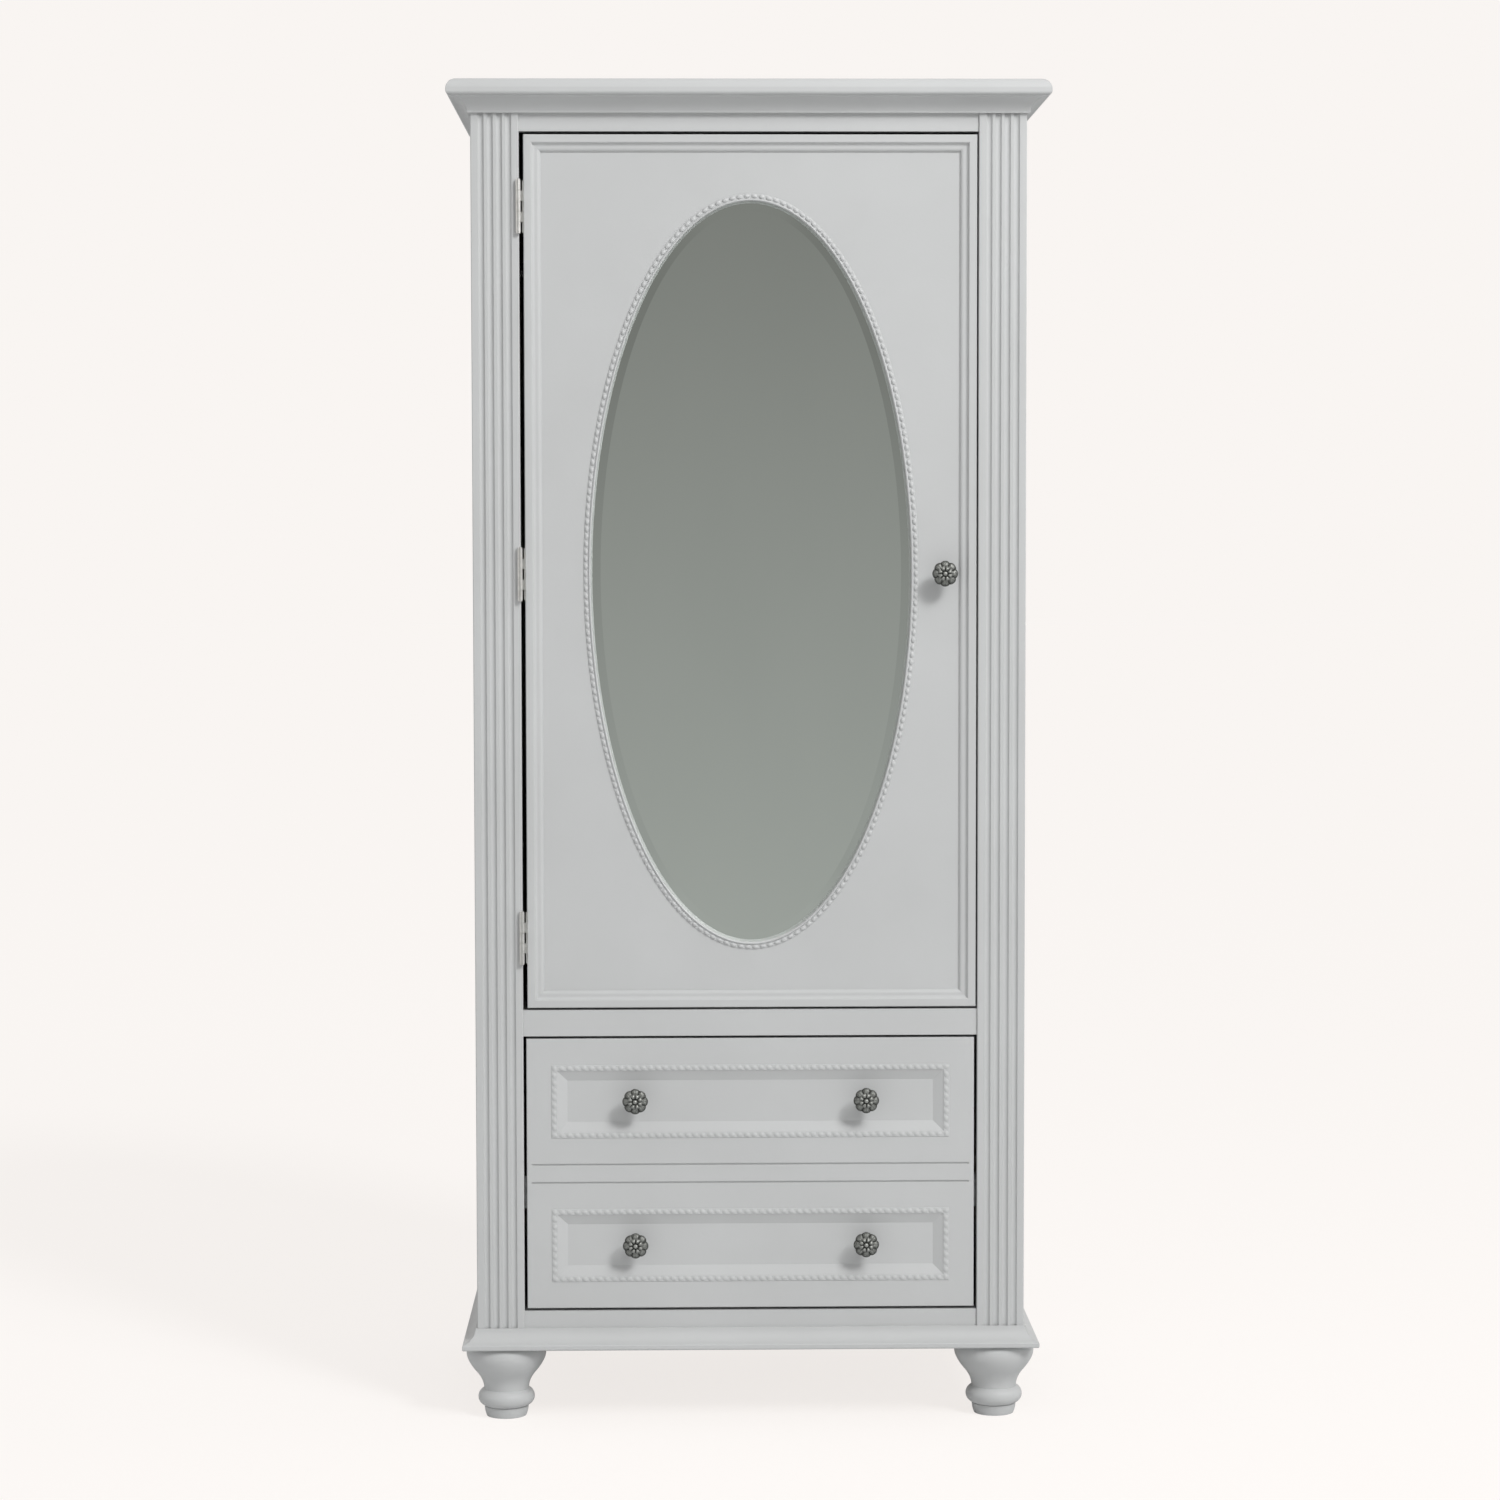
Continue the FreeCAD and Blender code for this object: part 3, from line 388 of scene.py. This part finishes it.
materials = {
    "painted_wood": paint("satin_paint", PAINT, PAINT_DEEP, 0.50),
    "painted_inside": paint("inside_paint", PAINT_INSIDE, PAINT_INSIDE_DEEP, 0.55),
}
print("paints:", sorted(materials))

# %% [markdown]
# ## Bare wood
# The drawer box, packers and corner blocks are sealed poplar that nobody paints. Its figure is long
# soft streaks along the board. Noise squeezed across the grain makes the streaks, a finer squeezed
# noise makes the pores, and each board turns the pattern to its own length.

# %% Bare wood
WOOD_LIGHT = tint(0.560, 0.420, 0.265)
WOOD_DARK = tint(0.400, 0.270, 0.150)
WOOD_PORE = tint(0.270, 0.170, 0.090)
STREAK = {"x": (0.06, 1.0, 1.0), "y": (1.0, 0.06, 1.0), "z": (1.0, 1.0, 0.06)}


def bare_wood(name, along):
    finish = Finish(name)
    vector = finish.mapped(scale=STREAK[along])
    streaks = finish.noise(0.030, 5.0, vector, 0.6)
    body = finish.blend(finish.spread(streaks, 0.0, 1.0), WOOD_LIGHT, WOOD_DARK)
    pores = finish.noise(0.0022, 2.0, vector)
    finish.colour(finish.blend(finish.spread(pores, 0.0, 0.55, 0.58, 0.72), body, WOOD_PORE))
    finish.roughness(finish.spread(streaks, 0.48, 0.62))
    finish.bump(pores, 0.00008)
    finish.bump(streaks, 0.00010)
    return finish.material


for grain_axis in STREAK:
    materials["bare_wood_" + grain_axis] = bare_wood("sealed_poplar_" + grain_axis, grain_axis)
print("woods:", [name for name in materials if name.startswith("bare")])

# %% [markdown]
# ## Hardboard
# The back, the mirror backing and the drawer bottom are thin pressed fibre with a washable pale
# face. Fibres show as short strokes in all directions, so two noises stretched different ways mix.

# %% Hardboard
BOARD_PALE = tint(0.560, 0.530, 0.465)
BOARD_FIBRE = tint(0.470, 0.430, 0.355)


def hardboard():
    finish = Finish("pale_hardboard")
    level = finish.noise(0.004, 4.0, finish.mapped(scale=(0.25, 1.0, 1.0)))
    upright = finish.noise(0.005, 4.0, finish.mapped(scale=(1.0, 1.0, 0.22), turn=(0.0, 0.4, 0.0)))
    cloudy = finish.noise(0.18, 3.0)
    fibre = finish.blend(finish.spread(level, 0.0, 0.7), BOARD_PALE, BOARD_FIBRE)
    fibre = finish.blend(finish.spread(upright, 0.0, 0.5, 0.5, 0.75), fibre, BOARD_FIBRE)
    finish.colour(finish.blend(finish.spread(cloudy, 0.0, 0.35), fibre, BOARD_PALE))
    finish.roughness(finish.spread(level, 0.55, 0.72))
    finish.bump(level, 0.00006)
    finish.bump(upright, 0.00005)
    return finish.material


materials["hardboard"] = hardboard()
print("hardboard ready")

# %% [markdown]
# ## Mirror
# Silvered glass is a nearly perfect metal mirror with a green cast from the glass in front of the
# silver. A very slight roughness where it was last wiped keeps it from looking computed.

# %% Mirror
SILVER = tint(0.895, 0.925, 0.900)
SILVER_WIPED = tint(0.880, 0.912, 0.886)


def mirror():
    finish = Finish("silvered_glass", Metallic=1.0)
    wiped = finish.noise(0.09, 4.0, finish.mapped(scale=(1.0, 1.0, 0.4), turn=(0.0, 0.5, 0.0)))
    finish.colour(finish.blend(finish.spread(wiped, 0.0, 1.0), SILVER, SILVER_WIPED))
    finish.roughness(finish.spread(wiped, 0.012, 0.035))
    return finish.material


materials["mirror_glass"] = mirror()
print("mirror ready")

# %% [markdown]
# ## Metals
# Knobs are cast metal with a dark patina, rubbed back on the high places. The relief is stored on
# each knob as an attribute, and the patina follows it. Hinges are satin nickel with fine scratches
# along the barrel. Slides and screws are bright zinc, which has a mottled spangle.

# %% Metals
PATINA = tint(0.056, 0.059, 0.054)
RUBBED = tint(0.370, 0.380, 0.360)
NICKEL = (tint(0.80, 0.795, 0.78), tint(0.70, 0.69, 0.67))
ZINC = (tint(0.60, 0.61, 0.62), tint(0.44, 0.45, 0.47))
CHROME = (tint(0.72, 0.72, 0.73), tint(0.66, 0.66, 0.67))


def old_pewter():
    finish = Finish("old_pewter", Metallic=0.60)
    relief = finish.nodes.new("ShaderNodeAttribute")
    relief.attribute_name = "relief"
    grime = finish.noise(0.0016, 4.0)
    worn = finish.nodes.new("ShaderNodeMath")
    worn.operation = "ADD"
    finish.links.new(relief.outputs["Fac"], worn.inputs[0])
    finish.links.new(finish.spread(grime, -0.22, 0.22), worn.inputs[1])
    patina = finish.spread(worn.outputs[0], 0.0, 1.0, 0.15, 0.95)
    finish.colour(finish.blend(patina, PATINA, RUBBED))
    finish.roughness(finish.spread(worn.outputs[0], 0.62, 0.36, 0.1, 0.9))
    finish.bump(grime, 0.00012)
    return finish.material


def brushed(name, light, dark, rough, scratch, metal=1.0):
    """Metal with fine scratches: scratch scales squeeze the noise along them."""
    finish = Finish(name, Metallic=metal)
    lines = finish.noise(0.0006, 3.0, finish.mapped(scale=scratch))
    mottle = finish.noise(0.006, 3.0)
    finish.colour(finish.blend(finish.spread(mottle, 0.0, 1.0), light, dark))
    finish.roughness(finish.spread(lines, rough - 0.06, rough + 0.10))
    finish.bump(lines, 0.00002)
    return finish.material


materials["antique_pewter"] = old_pewter()
materials["satin_nickel"] = brushed("satin_nickel", *NICKEL, 0.38, (1, 1, 0.04))
materials["zinc_steel"] = brushed("bright_zinc", *ZINC, 0.36, (1, 0.05, 1))
materials["chromed_rod"] = brushed("chromed_tube", *CHROME, 0.12, (0.05, 1, 1))
print("metals ready")

# %% [markdown]
# ## Plastic
# The catch is moulded nylon: off-white, with the fine spark-eroded texture of its mould.

# %% Plastic
def moulded_nylon():
    finish = Finish("moulded_nylon")
    texture = finish.noise(0.0005, 2.0)
    cloud = finish.spread(finish.noise(0.02), 0.0, 1.0)
    finish.colour(finish.blend(cloud, tint(0.62, 0.61, 0.57), tint(0.56, 0.55, 0.51)))
    finish.roughness(finish.spread(texture, 0.42, 0.56))
    finish.bump(texture, 0.00004)
    return finish.material


materials["white_plastic"] = moulded_nylon()
print("plastic ready")

# %% [markdown]
# ## Finishes on the frame's own parts
# The record says which finish each part has. Bare wood is the one finish that also needs the
# direction of the board: a drawer side runs front to back, and a cross board runs left to right.

# %% Put finishes on the frame
LENGTHWAYS = {"drawer_side_left": "y", "drawer_side_right": "y", "slide_packers": "y",
              "drawer_box_front": "x", "drawer_back": "x", "foot_blocks": "x"}
slot_of = {row["node"]: row["material_slot"] for row in record["subparts"]}


def finish_for(node):
    slot = slot_of[node]
    return materials["bare_wood_" + LENGTHWAYS[node]] if slot == "bare_wood" else materials[slot]


for node_name, node_object in frame["nodes"].items():
    for material_slot in node_object.material_slots:
        material_slot.material = finish_for(node_name)
print("finished parts:", len(frame["nodes"]))

# %% [markdown]
# ## A helper that turns a bmesh into a piece
# Each new piece stands for a part of the frame: it takes over that part's body and slot, and hides
# it. Faces are turned outwards before the mesh is written, and only sharp turns stay sharp.

# %% Piece helper
SMOOTH_ANGLE = math.radians(35)
MERGE_DISTANCE = 1e-6
body_of = {node: body for body, nodes in record["behaviour"]["bodies"].items() for node in nodes}


def add_piece(name, bm, node, stands_for=()):
    """Object from bm that rides with node's body, in node's finish."""
    bmesh.ops.remove_doubles(bm, verts=bm.verts, dist=MERGE_DISTANCE)
    bmesh.ops.recalc_face_normals(bm, faces=bm.faces)
    mesh = bpy.data.meshes.new(name)
    bm.to_mesh(mesh)
    bm.free()
    mesh.shade_smooth()
    mesh.set_sharp_from_angle(angle=SMOOTH_ANGLE)
    mesh.materials.append(finish_for(node))
    piece = bpy.data.objects.new(name, mesh)
    bpy.context.collection.objects.link(piece)
    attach(piece, body_of[node])
    if stands_for:
        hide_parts(*stands_for)
    print(name, "faces:", len(mesh.polygons))
    return piece


# %% [markdown]
# ## Pearls
# A string of pearls is turned on a cutter or pressed from composition and glued on. Each pearl is
# half a ball, a little longer than wide. One low sphere per pearl is enough, and a single cut along
# the wood's face takes away the hidden halves of all of them at once.

# %% Pearl helpers
PEARL_PITCH = 0.0101
PEARL_SIDES = 10
PEARL_BANDS = 6
# Half the length along the string, half the width across it, and the height.
MIRROR_PEARL = (0.0045, 0.0031, 0.0031)
DRAWER_PEARL = (0.0044, 0.0036, 0.0020)


def add_pearl(bm, place, along, size):
    """Ball at place, stretched along the string; size is one of the triples above."""
    outward = Vector((0.0, -1.0, 0.0))
    across = along.cross(outward)
    shape = Matrix((along * size[0], across * size[1], outward * size[2])).transposed()
    matrix = Matrix.Translation(place) @ shape.to_4x4()
    bmesh.ops.create_uvsphere(bm, u_segments=PEARL_SIDES, v_segments=PEARL_BANDS, radius=1.0,
                              matrix=matrix)


def cut_behind(bm, y):
    """Removes everything behind the plane at y."""
    geometry = bm.verts[:] + bm.edges[:] + bm.faces[:]
    bmesh.ops.bisect_plane(bm, geom=geometry, plane_co=(0.0, y, 0.0), plane_no=(0.0, 1.0, 0.0),
                           clear_outer=True)


print("pearl pitch:", PEARL_PITCH)

# %% [markdown]
# ## The pearl ring round the mirror
# The ring is a smooth bead beside the glass with a string of pearls outside it. It follows the
# oval, so its section can't simply be turned and stretched: it would grow
# thick where the oval is long. Instead the section is spun round a circle, and then each point is
# moved to its own place: along the oval by its angle, and square to the oval by its offset. The
# pearls stand at equal steps of length, not of angle, so they keep their spacing.

# %% Mirror ring
ring_low, ring_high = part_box("mirror_bead_ring")
ring_back = ring_high.y
ring_centre = (ring_low + ring_high) / 2
ring_outer = Vector(((ring_high.x - ring_low.x) / 2, (ring_high.z - ring_low.z) / 2))
RING_WIDTH = 0.0096
RING_STEPS = 288
OVAL_SAMPLES = 4000
HIDDEN_DEPTH = 0.0001
ring_half_x = ring_outer.x - RING_WIDTH
ring_half_z = ring_outer.y - RING_WIDTH
# Section of the band: offset outwards from the glass, and height above the door's face.
BAND = [(0.0000, 0.0), (0.0000, 0.0014), (0.0004, 0.0022), (0.0010, 0.0027), (0.0016, 0.0028),
        (0.0022, 0.0025), (0.0028, 0.0018), (0.0031, 0.0009), (0.0090, 0.0009), (0.0096, 0.0003),
        (0.0096, 0.0)]
PEARL_OFFSET = 0.0062


def oval_point(turn, offset):
    """Point square to the oval at this offset, and the direction along the oval."""
    point = Vector((ring_half_x * math.cos(turn), 0.0, ring_half_z * math.sin(turn)))
    along = Vector((-ring_half_x * math.sin(turn), 0.0, ring_half_z * math.cos(turn))).normalized()
    outward = Vector((along.z, 0.0, -along.x))
    return Vector((ring_centre.x, ring_back, ring_centre.z)) + point + outward * offset, along


def oval_turns(count, offset):
    """Angles of count points at equal steps along the oval."""
    points = [oval_point(2 * math.pi * i / OVAL_SAMPLES, offset)[0] for i in range(OVAL_SAMPLES + 1)]
    lengths = [0.0]
    for one, other in zip(points, points[1:]):
        lengths.append(lengths[-1] + (other - one).length)
    turns = []
    index = 0
    for step in range(count):
        wanted = lengths[-1] * step / count
        while lengths[index + 1] < wanted:
            index += 1
        share = (wanted - lengths[index]) / (lengths[index + 1] - lengths[index])
        turns.append(2 * math.pi * (index + share) / OVAL_SAMPLES)
    return turns, lengths[-1]


def open_profile(bm, points):
    """Chain of edges through the points."""
    verts = [bm.verts.new(point) for point in points]
    return verts + [bm.edges.new(pair) for pair in zip(verts, verts[1:])]


def mirror_ring():
    bm = bmesh.new()
    profile = open_profile(bm, [(1.0 + offset, -height, 0.0) for offset, height in BAND])
    bmesh.ops.spin(bm, geom=profile, cent=(0, 0, 0), axis=(0, -1, 0), angle=2 * math.pi,
                   steps=RING_STEPS, use_merge=True)
    for vert in bm.verts:
        offset = math.hypot(vert.co.x, vert.co.z) - 1.0
        place, _ = oval_point(math.atan2(vert.co.z, vert.co.x), offset)
        vert.co = place + Vector((0.0, vert.co.y, 0.0))
    _, length = oval_turns(1, PEARL_OFFSET)
    turns, _ = oval_turns(round(length / PEARL_PITCH), PEARL_OFFSET)
    for turn in turns:
        place, along = oval_point(turn, PEARL_OFFSET)
        add_pearl(bm, place, along, MIRROR_PEARL)
    cut_behind(bm, ring_back - HIDDEN_DEPTH)
    print("mirror pearls:", len(turns))
    return add_piece("mirror_pearl_ring", bm, "mirror_bead_ring", ["mirror_bead_ring"])


mirror_ring()

# %% [markdown]
# ## Pearl frames on the drawer
# The two sunk fields have the same string, laid as a rectangle. Four steps of spin give a square
# ring with mitred corners. Its corner points are then moved out to the real rectangle, which keeps
# the band's width the same on all four sides.

# %% Drawer pearl frames
STRIP_WIDTH = 0.008
STRIP_BAND = [(0.0000, 0.0), (0.0000, 0.0005), (0.0004, 0.0008), (0.0074, 0.0008), (0.0080, 0.0003),
              (0.0080, 0.0)]
STRIP_PEARL_OFFSET = 0.0038


def islands(node):
    """Boxes of the separate solids in one part of the frame, from the lowest up."""
    bm = bmesh.new()
    bm.from_mesh(frame["nodes"][node].data)
    bmesh.ops.remove_doubles(bm, verts=bm.verts, dist=MERGE_DISTANCE)
    left = set(bm.verts)
    boxes = []
    while left:
        group = []
        stack = [left.pop()]
        while stack:
            vert = stack.pop()
            group.append(vert.co.copy())
            for edge in vert.link_edges:
                other = edge.other_vert(vert)
                if other in left:
                    left.remove(other)
                    stack.append(other)
        boxes.append((Vector(map(min, zip(*group))), Vector(map(max, zip(*group))), group))
    bm.free()
    return sorted(boxes, key=lambda box: (round(box[0].z, 4), round(box[0].x, 4)))


def pearl_run(bm, start, end):
    """Pearls from start up to, not at, end."""
    run = end - start
    count = round(run.length / PEARL_PITCH)
    for index in range(count):
        add_pearl(bm, start + run * (index / count), run.normalized(), DRAWER_PEARL)


def drawer_frame(name, low, high, stands_for):
    bm = bmesh.new()
    centre = (low + high) / 2
    half_x = (high.x - low.x) / 2 - STRIP_WIDTH
    half_z = (high.z - low.z) / 2 - STRIP_WIDTH
    profile = open_profile(bm, [(1.0 + offset, -height, 1.0 + offset) for offset, height in STRIP_BAND])
    bmesh.ops.spin(bm, geom=profile, cent=(0, 0, 0), axis=(0, -1, 0), angle=2 * math.pi, steps=4,
                   use_merge=True)
    for vert in bm.verts:
        offset = abs(vert.co.x) - 1.0
        vert.co = Vector((centre.x + math.copysign(half_x + offset, vert.co.x), high.y + vert.co.y,
                          centre.z + math.copysign(half_z + offset, vert.co.z)))
    reach_x = half_x + STRIP_PEARL_OFFSET
    reach_z = half_z + STRIP_PEARL_OFFSET
    corners = [Vector((centre.x + i * reach_x, high.y, centre.z + k * reach_z))
               for i, k in ((-1, -1), (1, -1), (1, 1), (-1, 1))]
    for start, end in zip(corners, corners[1:] + corners[:1]):
        pearl_run(bm, start, end)
    cut_behind(bm, high.y - HIDDEN_DEPTH)
    return add_piece(name, bm, "drawer_bead_frames", stands_for)


frame_boxes = islands("drawer_bead_frames")
drawer_frame("drawer_pearls_lower", frame_boxes[0][0], frame_boxes[0][1], ["drawer_bead_frames"])
drawer_frame("drawer_pearls_upper", frame_boxes[1][0], frame_boxes[1][1], [])

# %% [markdown]
# ## Cast rosette knobs
# Each knob is a cast flower: eight broad outer petals that scallop the rim, eight small petals
# between them, and a boss in the middle. A profile from the wood to the tip is spun round, which
# gives a plain mushroom. The relief is then a formula of radius and angle, so the petals are real
# shape and not only shading. The same formula fills the attribute that the patina follows.

# %% Knobs
PETALS = 8
KNOB_STEPS = 96
KNOB_RADIUS = 0.0175
DOME = 0.0030
RELIEF_DEPTH = 0.0034
FACE_RINGS = 20
SCALLOP = 0.10
HEAD_START = 0.0200
STEM_RELIEF = 0.25
RIM_TOLERANCE = 1e-6
# Stem and back of the head: radius and distance from the wood.
STEM = [(0.0, 0.0), (0.0095, 0.0), (0.0098, 0.0012), (0.0092, 0.0026), (0.0070, 0.0040),
        (0.0058, 0.0070), (0.0056, 0.0110), (0.0066, 0.0150), (0.0092, 0.0185), (0.0128, 0.0208),
        (0.0158, 0.0226), (0.0172, 0.0246)]
RIM_OUT = 0.0262


def hump(share, start, stop):
    """Smooth rise and fall, 0 to 1 to 0, between two shares of the radius."""
    return math.sin(math.pi * min(max((share - start) / (stop - start), 0.0), 1.0))


def petal_relief(share, turn):
    """Height of the flower, 0 to 1, at a share of the radius and an angle."""
    outer = abs(math.cos(PETALS * turn / 2)) ** 0.55
    inner = abs(math.sin(PETALS * turn / 2)) ** 0.6
    vein = 1.0 - 0.22 * math.exp(-(math.sin(PETALS * turn / 2) / 0.13) ** 2)
    height = 0.62 * outer * vein * hump(share, 0.42, 1.00) ** 0.7
    height = max(height, 0.95 * inner * hump(share, 0.20, 0.62) ** 0.8)
    boss = 1.15 * math.sqrt(max(0.0, 1.0 - (share / 0.20) ** 2))
    return max(height, boss)


def rosette(name, seat, node, stands_for):
    """Knob standing on the surface at seat."""
    bm = bmesh.new()
    head = [(KNOB_RADIUS * (1 - i / FACE_RINGS), RIM_OUT + DOME * math.sin(math.pi / 2 * i / FACE_RINGS))
            for i in range(FACE_RINGS + 1)]
    profile = open_profile(bm, [(radius, -out, 0.0) for radius, out in STEM + head])
    bmesh.ops.spin(bm, geom=profile, cent=(0, 0, 0), axis=(0, -1, 0), angle=2 * math.pi,
                   steps=KNOB_STEPS, use_merge=True)
    bmesh.ops.remove_doubles(bm, verts=bm.verts, dist=MERGE_DISTANCE)
    relief = bm.verts.layers.float.new("relief")
    for vert in bm.verts:
        radius = math.hypot(vert.co.x, vert.co.z)
        turn = math.atan2(vert.co.z, vert.co.x)
        share = radius / KNOB_RADIUS
        if -vert.co.y > HEAD_START:
            lobe = 1.0 - SCALLOP * (1.0 - abs(math.cos(PETALS * turn / 2)) ** 0.7) * share ** 3
            vert.co.x *= lobe
            vert.co.z *= lobe
        if -vert.co.y >= RIM_OUT - RIM_TOLERANCE:
            vert[relief] = petal_relief(share, turn)
            vert.co.y -= RELIEF_DEPTH * vert[relief]
        else:
            vert[relief] = STEM_RELIEF
    bmesh.ops.translate(bm, verts=bm.verts, vec=seat)
    return add_piece(name, bm, node, stands_for)


door_knob_low, door_knob_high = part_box("door_knob")
door_knob_centre = (door_knob_low + door_knob_high) / 2
door_knob_seat = (door_knob_centre.x, door_knob_high.y, door_knob_centre.z)
rosette("door_rosette", door_knob_seat, "door_knob", ["door_knob"])
for knob_index, (knob_low, knob_high, _) in enumerate(islands("drawer_knobs")):
    middle = (knob_low + knob_high) / 2
    rosette(f"drawer_rosette_{knob_index + 1}", (middle.x, knob_high.y, middle.z), "drawer_knobs",
            ["drawer_knobs"] if knob_index == 0 else [])
print("knobs:", 1 + len(islands("drawer_knobs")))
